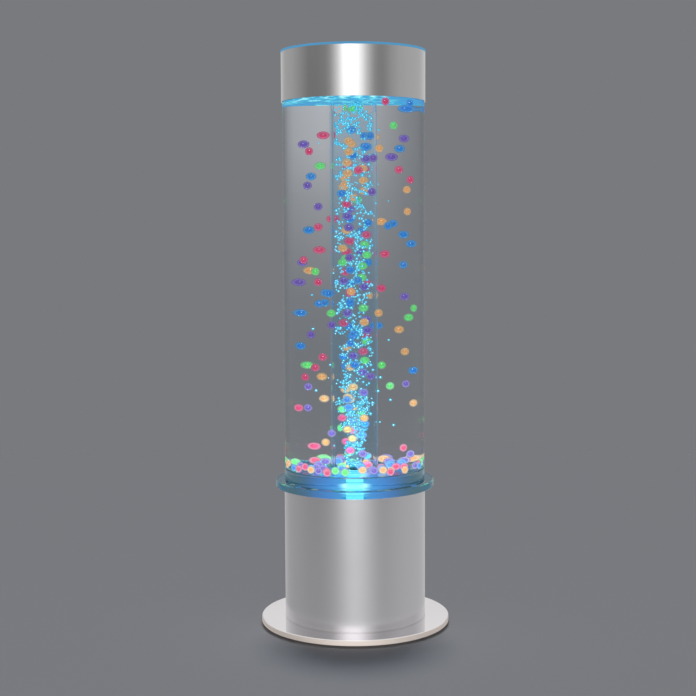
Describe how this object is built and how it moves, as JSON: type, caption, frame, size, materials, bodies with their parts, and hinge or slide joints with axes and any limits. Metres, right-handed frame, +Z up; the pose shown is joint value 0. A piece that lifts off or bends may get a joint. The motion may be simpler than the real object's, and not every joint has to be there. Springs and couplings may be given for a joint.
{
  "type": "bubble tube floor lamp",
  "caption": "Free-standing water column lamp: clear tube with an inner riser, floating balls, a lit floor, a metal collar and lid, and a drum pedestal with air pump on a round plate.",
  "frame": {"origin": "on the floor, under the column's axis, in the plane that the rubber feet stand on", "axes": "+Z up along the column's axis, +Y to the rear, where the inlet, switch and button are, so the front faces -Y"},
  "size_m": [0.27, 0.27, 0.8154],
  "materials": {
    "rubber_black": "matt moulded rubber",
    "plate_metal": "polished plate",
    "steel": "zinc plated",
    "pedestal_metal": "satin anodised",
    "deck_metal": "plain mill finish",
    "tape": "bonding tape",
    "clear_acrylic": "clear polished",
    "lit_acrylic": "clear, edge lit blue",
    "light_plug": "translucent, lit",
    "nozzle": "dark moulded",
    "board_white": "white solder mask",
    "led_lens": "lit lens",
    "silicone": "clear silicone",
    "valve_plastic": "moulded",
    "pump_case": "moulded",
    "core_iron": "laminated",
    "copper": "enamelled wire, taped",
    "magnet": "ferrite",
    "arm_metal": "pressed",
    "box_plastic": "moulded",
    "board_green": "green solder mask",
    "part_black": "moulded",
    "control_black": "moulded",
    "button_metal": "turned",
    "button_cap": "moulded",
    "lead_white": "insulation",
    "lead_black": "insulation",
    "lead_red": "insulation",
    "lead_blue": "insulation",
    "collar_metal": "polished aluminium",
    "water": "clear water",
    "ball_pink": "translucent",
    "ball_orange": "translucent",
    "ball_green": "translucent",
    "ball_blue": "translucent",
    "ball_purple": "translucent"
  },
  "bodies": {
    "base": {"base_feet": "rubber_black", "base_plate": "plate_metal", "base_screws": "steel", "tie_rods": "steel", "pedestal_shell": "pedestal_metal", "deck_plate": "deck_metal", "deck_screws": "steel", "bond_ring": "tape", "tank_flange": "lit_acrylic", "outer_tube": "clear_acrylic", "tank_floor": "lit_acrylic", "riser_tube": "clear_acrylic", "light_plug": "light_plug", "air_nozzle": "nozzle", "nozzle_seal": "rubber_black", "nozzle_nut": "steel", "led_board": "board_white", "leds": "led_lens", "board_screws": "steel", "hose_lower": "silicone", "check_valve": "valve_plastic", "hose_upper": "silicone", "pump_feet": "rubber_black", "pump_tray": "pump_case", "pump_cover": "pump_case", "pump_screws": "steel", "pump_core": "core_iron", "pump_coil": "copper", "pump_pivot": "part_black", "pump_bellows": "rubber_black", "valve_block": "valve_plastic", "control_box": "box_plastic", "control_lid": "box_plastic", "lid_screws": "steel", "control_board": "board_green", "board_parts": "part_black", "inlet_socket": "control_black", "inlet_nut": "steel", "switch_body": "control_black", "button_body": "button_metal", "button_nut": "steel", "led_lead": "lead_white", "pump_lead": "lead_black", "power_lead": "lead_red", "switch_lead": "lead_black", "button_lead": "lead_blue", "water": "water", "balls_pink": "ball_pink", "balls_orange": "ball_orange", "balls_green": "ball_green", "balls_blue": "ball_blue", "balls_purple": "ball_purple"},
    "cap": {"cap_collar": "collar_metal", "cap_lid": "lit_acrylic"},
    "pump_lever": {"pump_arm": "arm_metal", "pump_magnet": "magnet"},
    "rocker": {"switch_rocker": "control_black"},
    "button": {"button_cap": "button_cap"}
  },
  "joints": [
    {"name": "cap_lift", "type": "slide", "parent": "base", "child": "cap", "axis": [0, 0, 1], "range_m": [0, 0.1]},
    {"name": "power_rocker", "type": "hinge", "parent": "base", "child": "rocker", "pos_m": [0, 0.102, 0.064], "axis": [1, 0, 0], "range_deg": [0, 20]},
    {"name": "colour_button", "type": "slide", "parent": "base", "child": "button", "axis": [0, -1, 0], "range_m": [0, 0.0025], "stiffness_N_per_m": 400},
    {"name": "pump_swing", "type": "hinge", "parent": "base", "child": "pump_lever", "pos_m": [0.04408, -0.03, 0.0535], "axis": [0, 1, 0], "range_deg": [-1.2, 1.2], "stiffness_Nm_per_rad": 4, "deforming": ["pump_bellows"]}
  ]
}
